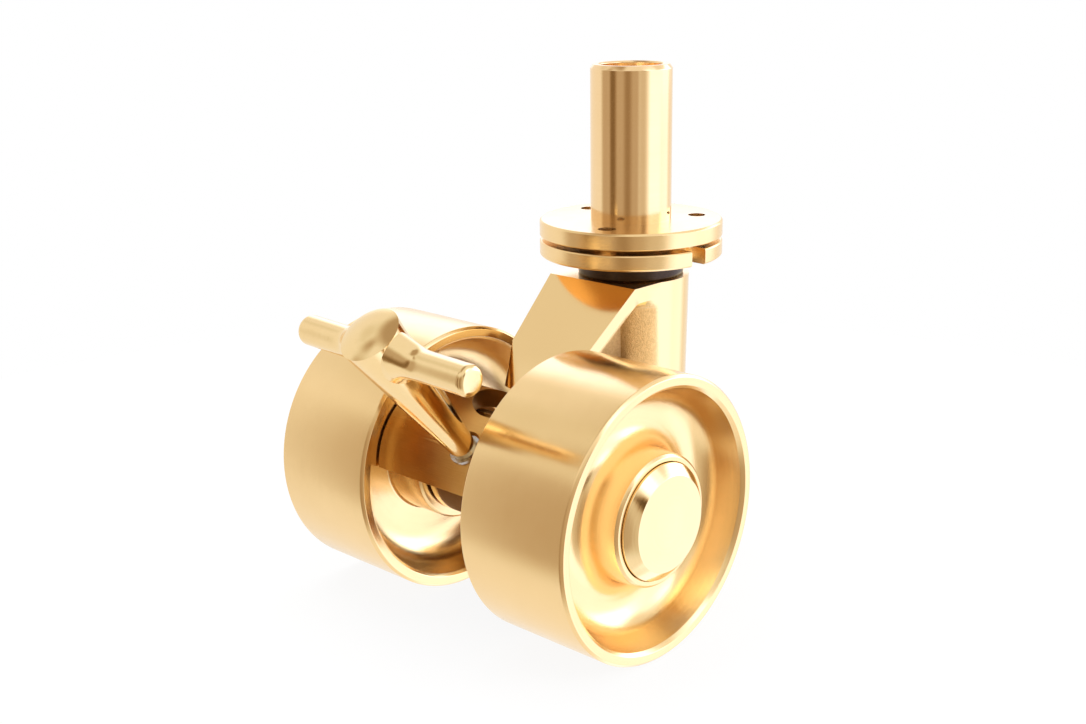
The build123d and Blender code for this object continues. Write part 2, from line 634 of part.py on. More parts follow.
def brake_handle():
    """T-handle: tapered round shank, domed head, crossbar with flared roots."""
    top = HANDLE_LENGTH
    sphere = (HANDLE_HEAD_RADIUS ** 2 + DOME_HEIGHT ** 2) / (2 * DOME_HEIGHT)
    centre = top + DOME_HEIGHT - sphere
    half_turn = asin(HANDLE_HEAD_RADIUS / sphere) / 2
    middle = (sphere * sin(half_turn), centre + sphere * cos(half_turn))
    shank_outline = [
        Line((0, 0), (HANDLE_FOOT_RADIUS, 0)),
        Line((HANDLE_FOOT_RADIUS, 0), (HANDLE_HEAD_RADIUS, top)),
        ThreePointArc((HANDLE_HEAD_RADIUS, top), middle, (0, top + DOME_HEIGHT)),
        Line((0, top + DOME_HEIGHT), (0, 0)),
    ]
    shank = revolve(Plane.XZ * make_face(shank_outline), Axis.Z, 360)
    half = CROSSBAR_HALF_LENGTH
    bar_outline = [(-half, 0), (-half, CROSSBAR_RADIUS), (half, CROSSBAR_RADIUS), (half, 0)]
    bar = Pos(0, 0, CROSSBAR_HEIGHT) * turned(bar_outline, [0, 2.2, 2.2, 0])
    body = shank + bar + crossbar_root(1) + crossbar_root(-1)
    body -= post(STUD_RADIUS, -1, 20)
    return handle_frame() * Rot(0, 0, HANDLE_TURN) * body


def brake_stud():
    """Steel stud screwed up into the handle and down into the boss."""
    stud = upright([(0, -STUD_DEPTH), (STUD_RADIUS - 0.7, -STUD_DEPTH),
                    (STUD_RADIUS, -STUD_DEPTH + 0.7), (STUD_RADIUS, 20), (0, 20)])
    return handle_frame() * stud


def stud_washer():
    """Steel washer between the handle's foot and the shoe."""
    washer = tube(WASHER_RADIUS, STUD_RADIUS, -WASHER_THICKNESS + 0.02, 0)
    return handle_frame() * washer


def nodes():
    """Every sub-part by name."""
    parts = {
        "leg_plate": leg_plate(), "leg_stem": leg_stem(), "king_pin": king_pin(),
        "upper_race": upper_race(), "king_washer": king_washer(), "king_nut": king_nut(),
        "thrust_balls": thrust_balls(), "ball_cage": ball_cage(),
        "swivel_plate": swivel_plate(), "lower_race": lower_race(),
        "spacer_ring": spacer_ring(), "plate_dowel": plate_dowel(),
        "fork_casting": fork_casting(), "foot_cap": foot_cap(),
        "upper_bush": bush(FORK_TOP - SPIGOT_DEPTH),
        "lower_bush": bush(PIN_SHOULDER + 0.2 + BUSH_LENGTH),
        "axle": axle(), "axle_set_screw": axle_set_screw(),
        "guide_pins": guide_pins(), "disc_springs": disc_springs(),
        "brake_shoe": brake_shoe(), "brake_handle": brake_handle(),
        "brake_stud": brake_stud(), "stud_washer": stud_washer(),
    }
    for name, side in (("left", -1), ("right", 1)):
        parts[f"wheel_{name}"] = wheel(side)
        parts[f"wheel_bush_{name}"] = wheel_bush(side)
        parts[f"hub_cap_{name}"] = hub_cap(side)
        parts[f"thrust_washer_{name}"] = thrust_washer(side)
        parts[f"axle_washer_{name}"] = axle_washer(side)
        parts[f"axle_nut_{name}"] = axle_nut(side)
        parts[f"brake_lining_{name}"] = brake_lining(side)
    return parts


def main():
    """Write one STEP file for each sub-part."""
    os.makedirs("parts", exist_ok=True)
    for name, shape in nodes().items():
        export_step(shape, f"parts/{name}.step")


main()
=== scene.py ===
"""Dressed model of a brass piano castor: finishes, smooth turned surfaces and a white studio.

Lengths below are millimetres in the frame of the solids: +Z up the stem, the origin at the
centre of the leg plate's top face, the axle along X and the brake handle towards -Y.
"""

import logging
from dataclasses import dataclass
from enum import Enum
from typing import Optional, Sequence

import bmesh
import bpy
import numpy as np
from mathutils import Matrix


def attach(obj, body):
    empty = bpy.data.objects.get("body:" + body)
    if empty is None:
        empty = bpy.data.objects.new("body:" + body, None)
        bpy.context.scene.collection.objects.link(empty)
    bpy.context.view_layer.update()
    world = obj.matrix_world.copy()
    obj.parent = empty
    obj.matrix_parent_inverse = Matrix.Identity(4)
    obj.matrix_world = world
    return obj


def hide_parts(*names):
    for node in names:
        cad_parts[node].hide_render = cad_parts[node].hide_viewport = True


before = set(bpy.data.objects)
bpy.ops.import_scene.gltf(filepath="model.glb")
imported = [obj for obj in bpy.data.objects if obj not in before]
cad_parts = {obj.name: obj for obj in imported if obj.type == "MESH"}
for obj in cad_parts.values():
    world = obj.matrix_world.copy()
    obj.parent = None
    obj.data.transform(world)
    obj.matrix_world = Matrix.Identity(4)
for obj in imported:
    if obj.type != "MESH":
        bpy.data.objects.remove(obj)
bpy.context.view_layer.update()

MM = 0.001
LOG = logging.getLogger("castor")

# Millimetres, and degrees above which an edge stays crisp or is broken
AXLE = np.array([0.0, -67.0, -84.6])
FOOT = np.array([0.0, -89.9, -69.3])
FLOOR_LEVEL = -134.6
WHEEL_INNER_FACE = 24.6
SMOOTH_LIMIT = 32.0
HANDLE_SMOOTH_LIMIT = 24.0
EDGE_LIMIT = 28.0
WHITE = (1.0, 1.0, 1.0)
Pair = tuple[float, float]
Triple = tuple[float, float, float]


class Grain(Enum):
    """How a brass surface was last worked."""

    POLISHED = "polished"
    TURNED_X = "turned about the axle"
    TURNED_Z = "turned about the stem"
    DRAWN_X = "brushed along the axle"


# Shader graph

class Graph:
    """Short calls for building one node tree."""

    def __init__(self, tree: bpy.types.NodeTree) -> None:
        """Start from an empty tree.

        Args:
            tree: the material's or world's node tree.
        """
        self.tree = tree
        tree.nodes.clear()

    def add(self, kind: str, settings: Optional[dict] = None, **inputs: object) -> bpy.types.Node:
        """Add a node.

        Args:
            kind: the node's type after "ShaderNode".
            settings: attributes of the node itself.
            inputs: socket values or sockets to link, spaces in names written as "_".

        Returns:
            The new node.
        """
        node = self.tree.nodes.new("ShaderNode" + kind)
        for name, value in (settings or {}).items():
            setattr(node, name, value)
        for name, value in inputs.items():
            self.feed(node.inputs[name.replace("_", " ")], value)
        return node

    def feed(self, socket: bpy.types.NodeSocket, value: object) -> None:
        """Link a socket to another, or set its value."""
        if isinstance(value, bpy.types.NodeSocket):
            self.tree.links.new(value, socket)
        else:
            socket.default_value = value

    def operate(self, kind: str, operation: str, values: Sequence[object]) -> bpy.types.Node:
        """Add a node that works on its inputs in order.

        Args:
            kind: the node's type after "ShaderNode".
            operation: what it does with them.
            values: numbers, triples or sockets.

        Returns:
            The new node.
        """
        node = self.add(kind, {"operation": operation})
        for socket, value in zip(node.inputs, values):
            self.feed(socket, value)
        return node

    def math(self, operation: str, *values: object) -> bpy.types.NodeSocket:
        """Result of a scalar operation on numbers or sockets."""
        return self.operate("Math", operation, values).outputs[0]

    def vector(self, operation: str, *values: object) -> bpy.types.Node:
        """Node of a vector operation, whose first output is the vector."""
        return self.operate("VectorMath", operation, values)

    def product(self, value: object, *others: object) -> bpy.types.NodeSocket:
        """Product of numbers or sockets, taken from the left.

        Args:
            value: the first factor.
            others: the factors that follow.

        Returns:
            The product's socket.
        """
        for other in others:
            value = self.math("MULTIPLY", value, other)
        return value

    def millimetres(self, centre: Triple = (0.0, 0.0, 0.0)) -> bpy.types.NodeSocket:
        """Object coordinates in millimetres from a centre.

        Args:
            centre: the point that reads as zero.

        Returns:
            The coordinates' socket.
        """
        scaled = self.vector("SCALE", self.add("TexCoord").outputs["Object"])
        scaled.inputs["Scale"].default_value = 1 / MM
        return self.vector("SUBTRACT", scaled.outputs[0], centre).outputs[0]

    def combine(self, x: object, y: object, z: object) -> bpy.types.NodeSocket:
        """Vector from three numbers or sockets."""
        return self.add("CombineXYZ", X=x, Y=y, Z=z).outputs[0]

    def noise(self, vector: bpy.types.NodeSocket, scale: float, detail: float = 3.0,
              rough: float = 0.5) -> bpy.types.NodeSocket:
        """Noise value from 0 to 1.

        Args:
            vector: where it is read.
            scale: cells to a unit.
            detail: octaves.
            rough: weight of the fine octaves.

        Returns:
            The value's socket.
        """
        node = self.add("TexNoise", Vector=vector, Scale=scale, Detail=detail, Roughness=rough)
        return node.outputs["Fac"]

    def remap(self, value: bpy.types.NodeSocket, low: float, high: float, out_low: float,
              out_high: float, smooth: bool = False) -> bpy.types.NodeSocket:
        """Map one range on to another, clamped.

        Args:
            value: the input.
            low: input that gives out_low.
            high: input that gives out_high.
            out_low: first output.
            out_high: last output.
            smooth: ease both ends.

        Returns:
            The mapped value's socket.
        """
        settings = {"interpolation_type": "SMOOTHSTEP" if smooth else "LINEAR"}
        node = self.add("MapRange", settings, Value=value)
        for name, number in zip(("From Min", "From Max", "To Min", "To Max"),
                                (low, high, out_low, out_high)):
            node.inputs[name].default_value = number
        return node.outputs[0]

    def blend(self, share: object, first: object, second: object) -> bpy.types.NodeSocket:
        """Mix two colours by a share.

        Args:
            share: how much of the second.
            first: a linear triple or a socket.
            second: a linear triple or a socket.

        Returns:
            The colour's socket.
        """
        node = self.add("Mix", {"data_type": "RGBA"})
        self.feed(node.inputs[0], share)
        for socket, colour in ((node.inputs[6], first), (node.inputs[7], second)):
            self.feed(socket, rgba(colour) if isinstance(colour, tuple) else colour)
        return node.outputs[2]

    def mix(self, share: object, first: bpy.types.Node,
            second: bpy.types.Node) -> bpy.types.NodeSocket:
        """Mix two shaders by a share.

        Args:
            share: how much of the second.
            first: the first shader's node.
            second: the second shader's node.

        Returns:
            The mixed shader's socket.
        """
        node = self.add("MixShader", Fac=share)
        self.feed(node.inputs[1], first.outputs[0])
        self.feed(node.inputs[2], second.outputs[0])
        return node.outputs[0]

    def close(self, shader: bpy.types.NodeSocket, kind: str = "OutputMaterial") -> None:
        """Link a shader to the tree's output."""
        self.feed(self.add(kind).inputs["Surface"], shader)


def rgba(colour: Triple) -> tuple[float, float, float, float]:
    """Linear colour with full alpha."""
    return (*colour, 1.0)


def new_material(name: str) -> tuple[bpy.types.Material, Graph]:
    """Start a material.

    Args:
        name: the material's name.

    Returns:
        The material and the empty graph to fill.
    """
    made = bpy.data.materials.new(name)
    made.use_nodes = True
    return made, Graph(made.node_tree)


# Finishes

@dataclass(frozen=True)
class Metal:
    """A worked metal: its colour, gloss and the marks of the tool."""

    name: str
    colour: Triple
    roughness: float
    grain: Grain
    depth: float = 0.15
    lines: float = 2.2
    anisotropy: float = 0.0
    tint: Triple = (0.84, 0.57, 0.25)
    tint_share: float = 0.14
    centre: Triple = (0.0, 0.0, 0.0)

    def material(self) -> bpy.types.Material:
        """Build the material.

        Returns:
            A material whose marks follow the way the surface was worked.
        """
        made, graph = new_material(self.name)
        place = graph.millimetres(self.centre)
        marks = self.marks(graph, place)
        cloud = graph.noise(place, scale=0.045, detail=3.0, rough=0.55)
        share = graph.remap(cloud, 0.35, 0.70, 0.0, self.tint_share, True)
        streak = graph.remap(marks, 0.35, 0.65, 0.0, self.tint_share * 0.8)
        colour = graph.blend(graph.math("ADD", share, streak), self.colour, self.tint)
        wear = graph.noise(place, scale=0.16, detail=4.0, rough=0.6)
        gloss = graph.math("ADD", graph.remap(wear, 0.3, 0.7, self.roughness * 0.85,
                                              self.roughness * 1.15),
                           graph.remap(marks, 0.3, 0.7, -0.02, 0.03))
        bump = graph.add("Bump", Strength=self.depth, Distance=0.0002, Height=marks)
        scratch = self.scratches(graph, place)
        bump = graph.add("Bump", Strength=0.12, Distance=0.0001, Height=scratch,
                         Normal=bump.outputs[0])
        shader = graph.add("BsdfPrincipled", Base_Color=colour, Metallic=1.0, Roughness=gloss,
                           Normal=bump.outputs[0])
        if self.anisotropy:
            shader.inputs["Anisotropic"].default_value = self.anisotropy
            shader.inputs["Anisotropic Rotation"].default_value = 0.25
            tangent = graph.add("Tangent", {"direction_type": "UV_MAP", "uv_map": "turn"})
            graph.feed(shader.inputs["Tangent"], tangent.outputs[0])
        graph.close(shader.outputs[0])
        return made

    def marks(self, graph: Graph, place: bpy.types.NodeSocket) -> bpy.types.NodeSocket:
        """Height of the tool marks.

        Turned work reads noise at (distance along the axis, distance from it), so the lines run
        round the axis; brushed work stretches noise along X; polished work keeps a faint cloud.

        Args:
            graph: the tree being built.
            place: millimetre coordinates.

        Returns:
            A value from 0 to 1.
        """
        x, y, z = graph.add("SeparateXYZ", Vector=place).outputs
        if self.grain is Grain.POLISHED:
            return graph.noise(place, scale=0.6, detail=5.0, rough=0.6)
        if self.grain is Grain.DRAWN_X:
            along = graph.math("MULTIPLY", x, 0.035)
            return graph.noise(graph.combine(along, y, z), self.lines, detail=5.0, rough=0.7)
        about_x = self.grain is Grain.TURNED_X
        along, spoke = (x, (0.0, y, z)) if about_x else (z, (x, y, 0.0))
        radius = graph.vector("LENGTH", graph.combine(*spoke)).outputs[1]
        return graph.noise(graph.combine(along, radius, 0.0), self.lines, detail=4.0, rough=0.65)

    def scratches(self, graph: Graph, place: bpy.types.NodeSocket) -> bpy.types.NodeSocket:
        """Sparse hair scratches: the thin zero lines of a slow noise field."""
        field_value = graph.noise(place, scale=0.11, detail=2.0, rough=0.4)
        distance = graph.math("ABSOLUTE", graph.math("SUBTRACT", field_value, 0.5))
        line = graph.remap(distance, 0.0, 0.0016, 1.0, 0.0)
        where = graph.remap(graph.noise(place, scale=0.3, detail=2.0), 0.62, 0.66, 0.0, 1.0)
        return graph.math("MULTIPLY", line, where)


@dataclass(frozen=True)
class CastFlank:
    """Fork finish: polished flats and edges, with coarse cast grain on the column's front."""

    name: str
    polished: Triple
    cast: Triple
    pit_colour: Triple = (0.44, 0.24, 0.07)
    # Painted shade: near-black brown for the shadow low in the corner beside the web
    painted_shade_colour: Triple = (0.20, 0.085, 0.02)
    side_fade: Pair = (20.7, 19.9)
    front_fade: Pair = (-4.0, -12.0)
    head_fade: Pair = (-28.5, -31.5)
    ramp_normal: Pair = (0.651, -0.759)
    ramp_fade: Pair = (5.5, 7.5)
    # Painted shade fades in towards the web (Y) and further down the column (Z)
    painted_shade_fade: Pair = (-16.2, -18.6)
    painted_shade_low_fade: Pair = (-38.0, -58.0)

    def material(self) -> bpy.types.Material:
        """Build the material.

        Grain covers the column's front between its sides, below the head and under the ramp. It
        fades out towards the smooth turned back. Low in the corner beside the web it is darkened
        by painted shade, which stands in for the shadow there. Each fade is a pair of
        millimetres:
        where it starts and where it is complete.

        Returns:
            The material.
        """
        made, graph = new_material(self.name)
        place = graph.millimetres()
        parts = graph.add("SeparateXYZ", Vector=place).outputs
        mask = self.mask(graph, parts)
        pits = graph.noise(place, scale=0.9, detail=6.0, rough=0.78)
        grain = graph.noise(place, scale=2.6, detail=4.0, rough=0.6)
        height = graph.product(mask, graph.math("ADD", pits, grain))
        shade = graph.remap(pits, 0.34, 0.70, 0.0, 0.62)
        # Painted shade: the cast skin turns darker towards the web and lower down, for the shadow
        # in that corner
        corner = graph.product(graph.remap(parts[1], *self.painted_shade_fade, 0.0, 0.92, True),
                               graph.remap(parts[2], *self.painted_shade_low_fade, 0.35, 1.0, True))
        skin = graph.blend(shade, self.cast, self.pit_colour)
        skin = graph.blend(corner, skin, self.painted_shade_colour)
        colour = graph.blend(mask, self.polished, skin)
        gloss = graph.remap(mask, 0.0, 1.0, 0.16, 0.40)
        bump = graph.add("Bump", Strength=0.55, Distance=0.0006, Height=height)
        shader = graph.add("BsdfPrincipled", Base_Color=colour, Metallic=1.0, Roughness=gloss,
                           Normal=bump.outputs[0])
        graph.close(shader.outputs[0])
        return made

    def mask(self, graph: Graph, parts: Sequence[bpy.types.NodeSocket]) -> bpy.types.NodeSocket:
        """Where the casting was left rough.

        Args:
            graph: the tree being built.
            parts: X, Y and Z in millimetres.

        Returns:
            1 on rough skin and 0 on worked faces.
        """
        side = graph.math("ABSOLUTE", parts[0])
        ramp = graph.math("ADD", graph.math("MULTIPLY", parts[1], self.ramp_normal[0]),
                          graph.math("MULTIPLY", parts[2], self.ramp_normal[1]))
        fades = ((parts[1], self.front_fade), (side, self.side_fade),
                 (parts[2], self.head_fade), (ramp, self.ramp_fade))
        return graph.product(*(graph.remap(value, *fade, 0.0, 1.0, True)
                               for value, fade in fades))


@dataclass(frozen=True)
class Coating:
    """A plain non-metal or dark finish with speckle and soft wear."""

    name: str
    colour: Triple
    roughness: float
    metallic: float = 0.0
    speck: Triple = (0.10, 0.08, 0.06)

    def material(self) -> bpy.types.Material:
        """Build the material.

        Returns:
            A material with fine specks and slightly uneven gloss.
        """
        made, graph = new_material(self.name)
        where = graph.add("TexCoord").outputs["Object"]
        fine = graph.noise(where, scale=2600.0, detail=3.0, rough=0.6)
        colour = graph.blend(graph.remap(fine, 0.45, 0.7, 0.0, 1.0), self.colour, self.speck)
        gloss = graph.remap(graph.noise(where, 300.0, 3.0), 0.3, 0.7, self.roughness * 0.8,
                            min(1.0, self.roughness * 1.2))
        bump = graph.add("Bump", Strength=0.2, Distance=0.0002, Height=fine)
        shader = graph.add("BsdfPrincipled", Base_Color=colour, Metallic=self.metallic,
                           Roughness=gloss, Normal=bump.outputs[0])
        graph.close(shader.outputs[0])
        return made


BRASS = (0.92, 0.66, 0.33)
WHEEL_CENTRE = tuple(AXLE)
PLATE_FINISH = Metal("plate_brass", BRASS, 0.22, Grain.TURNED_Z, depth=0.16, lines=2.6,
                     anisotropy=0.35)
STEM_FINISH = Metal("stem_brass", (0.92, 0.66, 0.36), 0.11, Grain.TURNED_Z, depth=0.05,
                    lines=1.4)
WHEEL_FINISH = Metal("wheel_brass", BRASS, 0.19, Grain.TURNED_X, depth=0.14, lines=2.4,
                     anisotropy=0.55, centre=WHEEL_CENTRE)
CAP_FINISH = Metal("cap_brass", (0.93, 0.70, 0.37), 0.09, Grain.TURNED_X, depth=0.05,
                   lines=1.6, centre=WHEEL_CENTRE)
HANDLE_FINISH = Metal("handle_brass", (0.91, 0.68, 0.35), 0.13, Grain.POLISHED, depth=0.04)
SHOE_FINISH = Metal("brushed_brass", (0.82, 0.50, 0.17), 0.32, Grain.DRAWN_X, depth=0.45,
                    lines=3.2, tint=(0.66, 0.35, 0.08), tint_share=0.35)
FORK_FINISH = CastFlank("fork_brass", BRASS, (0.94, 0.63, 0.27))
BRONZE_FINISH = Metal("bronze", (0.62, 0.40, 0.20), 0.35, Grain.TURNED_X, depth=0.2,
                      lines=2.0, centre=WHEEL_CENTRE)
STEEL_FINISH = Metal("steel", (0.56, 0.56, 0.57), 0.24, Grain.TURNED_X, depth=0.15,
                     lines=2.5, tint=(0.40, 0.39, 0.38), centre=WHEEL_CENTRE)
SPACER_FINISH = Coating("dark_spacer", (0.030, 0.014, 0.005), 0.22, metallic=0.6,
                        speck=(0.06, 0.03, 0.012))
LINING_FINISH = Coating("brake_lining", (0.035, 0.025, 0.018), 0.85,
                        speck=(0.12, 0.10, 0.08))


# Surfaces

def rounded(corners: Sequence[Triple], steps: int = 6) -> np.ndarray:
    """Outline with each corner replaced by a tangent arc.

    At a corner P with unit directions a and b to its neighbours and radius r, the arc starts at
    P + a r / tan(half angle) and its centre lies along a + b; the points between are spaced
    evenly in angle.

    Args:
        corners: (axial, radial, fillet radius) for each corner.
        steps: points on each arc.

    Returns:
        Points as an (n, 2) array.
    """
    points = np.array([corner[:2] for corner in corners], float)
    out = [points[:1]]
    for index in range(1, len(corners) - 1):
        radius = corners[index][2]
        if radius <= 0:
            out.append(points[index:index + 1])
            continue
        before, here, after = points[index - 1:index + 2]
        a = (before - here) / np.linalg.norm(before - here)
        b = (after - here) / np.linalg.norm(after - here)
        half = np.arccos(np.clip(a @ b, -1, 1)) / 2
        middle = here + (a + b) / np.linalg.norm(a + b) * radius / np.sin(half)
        first = here + a * radius / np.tan(half) - middle
        last = here + b * radius / np.tan(half) - middle
        share = np.linspace(0, 1, max(3, int(steps + radius)))[:, None]
        angle = np.arccos(np.clip(first @ last / radius ** 2, -1, 1))
        arc = (np.sin((1 - share) * angle) * first + np.sin(share * angle) * last)
        out.append(middle + arc / np.sin(angle))
    out.append(points[-1:])
    return np.concatenate(out)


def new_object(name: str, data: bpy.types.ID) -> bpy.types.Object:
    """Put data into the scene.

    Args:
        name: the new object's name.
        data: the mesh, camera or light that it shows.

    Returns:
        The new object, at the origin.
    """
    made = bpy.data.objects.new(name, data)
    bpy.context.scene.collection.objects.link(made)
    return made


def mesh_from_grid(name: str, grid: np.ndarray) -> bpy.types.Object:
    """Mesh from a grid of points, its rows joined by quads and its last column to its first.

    Quad (i, j) has corners (i, j), (i, j+1), (i+1, j+1) and (i+1, j), with j wrapping round.

    Args:
        name: the new object's name.
        grid: points as (rows, columns, 3), in millimetres.

    Returns:
        The new object, at the origin.
    """
    rows, columns = grid.shape[:2]
    mesh = bpy.data.meshes.new(name)
    i, j = np.meshgrid(np.arange(rows - 1), np.arange(columns), indexing="ij")
    k = (j + 1) % columns
    quads = np.stack([i * columns + j, i * columns + k, (i + 1) * columns + k,
                      (i + 1) * columns + j], -1).reshape(-1, 4)
    count = len(quads)
    mesh.vertices.add(rows * columns)
    mesh.vertices.foreach_set("co", (grid.reshape(-1, 3) * MM).astype(np.float32).ravel())
    mesh.loops.add(count * 4)
    mesh.loops.foreach_set("vertex_index", quads.astype(np.int32).ravel())
    mesh.polygons.add(count)
    mesh.polygons.foreach_set("loop_start", np.arange(0, count * 4, 4, dtype=np.int32))
    layer = mesh.uv_layers.new(name="turn")
    u = np.stack([j, j + 1, j + 1, j], -1) / columns
    v = np.stack([i, i, i + 1, i + 1], -1) / (rows - 1)
    layer.data.foreach_set("uv", np.stack([u, v], -1).astype(np.float32).ravel())
    mesh.update(calc_edges=True)
    mesh.validate()
    return new_object(name, mesh)


def shade(mesh: bpy.types.Mesh, limit: float) -> None:
    """Shade smooth, with the edges over an angle in degrees kept crisp."""
    mesh.polygons.foreach_set("use_smooth", np.ones(len(mesh.polygons), bool))
    mesh.set_sharp_from_angle(angle=np.radians(limit))


def tidy_mesh(made: bpy.types.Object) -> None:
    """Merge doubles, point the faces outwards and shade smooth between sharp edges.

    Args:
        made: the object to finish.
    """
    work = bmesh.new()
    work.from_mesh(made.data)
    bmesh.ops.remove_doubles(work, verts=work.verts, dist=2e-6)
    bmesh.ops.dissolve_degenerate(work, edges=work.edges, dist=1e-7)
    bmesh.ops.recalc_face_normals(work, faces=work.faces)
    work.to_mesh(made.data)
    work.free()
    shade(made.data, SMOOTH_LIMIT)


@dataclass(frozen=True)
class Axis:
    """A line that shapes are turned about: its start and its three unit directions."""

    start: np.ndarray
    along: np.ndarray
    first: np.ndarray
    second: np.ndarray

    def lathe(self, name: str, outline: np.ndarray, segments: int = 192) -> bpy.types.Object:
        """Turn an outline about the axis.

        A point (t, r) of the outline at angle w lands on start + t along + r (cos w first +
        sin w second).

        Args:
            name: the new object's name.
            outline: (axial, radial) points.
            segments: columns round the axis.

        Returns:
            The closed surface.
        """
        turn = np.linspace(0, 2 * np.pi, segments, endpoint=False)[None, :, None]
        t, r = outline[:, 0][:, None, None], outline[:, 1][:, None, None]
        grid = self.start + t * self.along + r * (np.cos(turn) * self.first
                                                  + np.sin(turn) * self.second)
        made = mesh_from_grid(name, grid)
        tidy_mesh(made)
        return made


def upright(x: float = 0.0, y: float = 0.0) -> Axis:
    """Vertical axis at a plan position."""
    return Axis(np.array([x, y, 0.0]), np.array([0.0, 0, 1]), np.array([1.0, 0, 0]),
                np.array([0.0, 1, 0]))


STEM_AXIS = upright()
SCREW_DIRECTION = np.array([0.0, -0.6293204, 0.7771460])
SCREW_SIDE = np.array([0.0, SCREW_DIRECTION[2], -SCREW_DIRECTION[1]])
HANDLE_TURN = np.radians(-2.0)
CROSSBAR = np.array([np.cos(HANDLE_TURN), 0, 0]) + np.sin(HANDLE_TURN) * SCREW_SIDE
CROSSWISE = -np.sin(HANDLE_TURN) * np.array([1.0, 0, 0]) + np.cos(HANDLE_TURN) * SCREW_SIDE
SCREW_AXIS = Axis(FOOT, SCREW_DIRECTION, CROSSBAR, CROSSWISE)


def wheel_axis(side: int) -> Axis:
    """Axle line that starts at a wheel's inner face and runs outwards.

    Args:
        side: 1 for the wheel at +X and -1 for the one at -X.

    Returns:
        The axis.
    """
    start = AXLE + np.array([WHEEL_INNER_FACE * side, 0, 0])
    return Axis(start, np.array([float(side), 0, 0]), np.array([0.0, 1, 0]),
                np.array([0.0, 0, 1]))


def apply_tool(made: bpy.types.Object, tool: bpy.types.Object, operation: str,
               limit: float) -> None:
    """Join a tool to a solid or take it out of it, and remove the tool.

    Args:
        made: the solid that is changed.
        tool: the other solid.
        operation: the Boolean modifier's operation.
        limit: angle in degrees above which the result's edges stay crisp.
    """
    step = made.modifiers.new("tool", "BOOLEAN")
    step.operation, step.solver, step.object = operation, "EXACT", tool
    graph = bpy.context.evaluated_depsgraph_get()
    result = bpy.data.meshes.new_from_object(made.evaluated_get(graph))
    made.modifiers.clear()
    made.data = result
    bpy.data.objects.remove(tool)
    shade(made.data, limit)


def post(centre: Pair, radius: float, low: float, high: float,
         flare: float) -> bpy.types.Object:
    """Upright round tool, its lower end widened by a countersink.

    Args:
        centre: plan position.
        radius: of the straight part.
        low: bottom level.
        high: top level.
        flare: extra radius at the bottom, at 45 degrees.

    Returns:
        The closed solid.
    """
    outline = np.array([(low, 0), (low, radius + flare), (low + flare, radius), (high, radius),
                        (high, 0)])
    return upright(*centre).lathe("screw_tool", outline, 48)


def merged_copy(node: str, name: str, bevel: float) -> bpy.types.Object:
    """Copy of a solid with its doubles merged, flat faces rejoined and edges broken.

    Args:
        node: the solid's node.
        name: the new object's name.
        bevel: width of the broken edges in millimetres.

    Returns:
        The copy.
    """
    made = new_object(name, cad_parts[node].data.copy())
    mesh = made.data
    work = bmesh.new()
    work.from_mesh(mesh)
    bmesh.ops.remove_doubles(work, verts=work.verts, dist=1e-6)
    bmesh.ops.dissolve_limit(work, angle_limit=np.radians(0.05), verts=work.verts,
                             edges=work.edges)
    work.to_mesh(mesh)
    work.free()
    mesh.materials.clear()
    shade(mesh, EDGE_LIMIT)
    step = made.modifiers.new("broken edges", "BEVEL")
    step.width, step.segments = bevel * MM, 2
    step.limit_method, step.angle_limit = "ANGLE", np.radians(EDGE_LIMIT)
    step.harden_normals = step.use_clamp_overlap = True
    return made


def paint(made: bpy.types.Object, material: bpy.types.Material) -> None:
    """Give an object one material in place of all it had."""
    made.data.materials.clear()
    made.data.materials.append(material)


# Sub-assemblies

@dataclass
class Part:
    """A sub-assembly that builds its pieces and dresses them."""

    def place(self, piece: bpy.types.Object, body: str, slot: str,
              material: bpy.types.Material, *nodes: str) -> None:
        """Finish a piece: its material, its body and the solids it stands for.

        Args:
            piece: the new piece.
            body: the body it moves with.
            slot: not used.
            material: its finish.
            nodes: the solids it replaces.
        """
        paint(piece, material)
        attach(piece, body)
        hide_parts(*nodes)
        LOG.info("%s: %d faces", piece.name, len(piece.data.polygons))


@dataclass
class LegSide(Part):
    """Stem and leg plate."""

    stem_radius: float = 15.3
    stem_height: float = 57.5
    bore_radius: float = 12.0
    bore_floor: float = 16.5
    bore_cone: float = 14.0
    pin_radius: float = 9.0
    foot_step: float = 0.3
    foot_depth: float = 2.5
    plate_radius: float = 34.7
    thickness: float = 6.4
    lower_edge: float = 0.5
    upper_edge: float = 0.7
    screw_circle: float = 25.5
    screw_radius: float = 3.3
    countersink: float = 2.7
    screw_angles: tuple[float, ...] = (-70.0, 50.0, 170.0)

    def build(self) -> None:
        """Turn both pieces and drill the screw holes."""
        h, r, b = self.stem_height, self.stem_radius, self.bore_radius
        pin, low, foot = self.pin_radius, -self.foot_depth, r + self.foot_step
        stem = STEM_AXIS.lathe("stem_turned", rounded([
            (low, pin, 0), (low, foot, 0), (0.0, foot, 0), (0.0, r, 0), (h - 1.6, r, 0.5),
            (h, r - 1.2, 0.35), (h, b + 0.6, 0.25), (h - 0.6, b, 0.3),
            (self.bore_floor, b, 0.5), (self.bore_cone, pin, 0), (low, pin, 0)]), 256)
        self.place(stem, "leg_side", "polished_brass", STEM_FINISH.material(), "leg_stem")
        p, t, e, u = self.plate_radius, self.thickness, self.lower_edge, self.upper_edge
        plate = STEM_AXIS.lathe("leg_plate_turned", rounded([
            (-t, pin, 0), (-t, p - e, 0.3), (-t + e, p, 0.3), (-u, p, 0.3), (0.0, p - u, 0.3),
            (0.0, foot, 0), (low, foot, 0), (low, pin, 0), (-t, pin, 0)]), 256)
        for angle in np.radians(self.screw_angles):
            centre = (self.screw_circle * np.cos(angle), self.screw_circle * np.sin(angle))
            tool = post(centre, self.screw_radius, -t - 0.01, 1.0, self.countersink)
            apply_tool(plate, tool, "DIFFERENCE", SMOOTH_LIMIT)
        self.place(plate, "leg_side", "polished_brass", PLATE_FINISH.material(), "leg_plate")


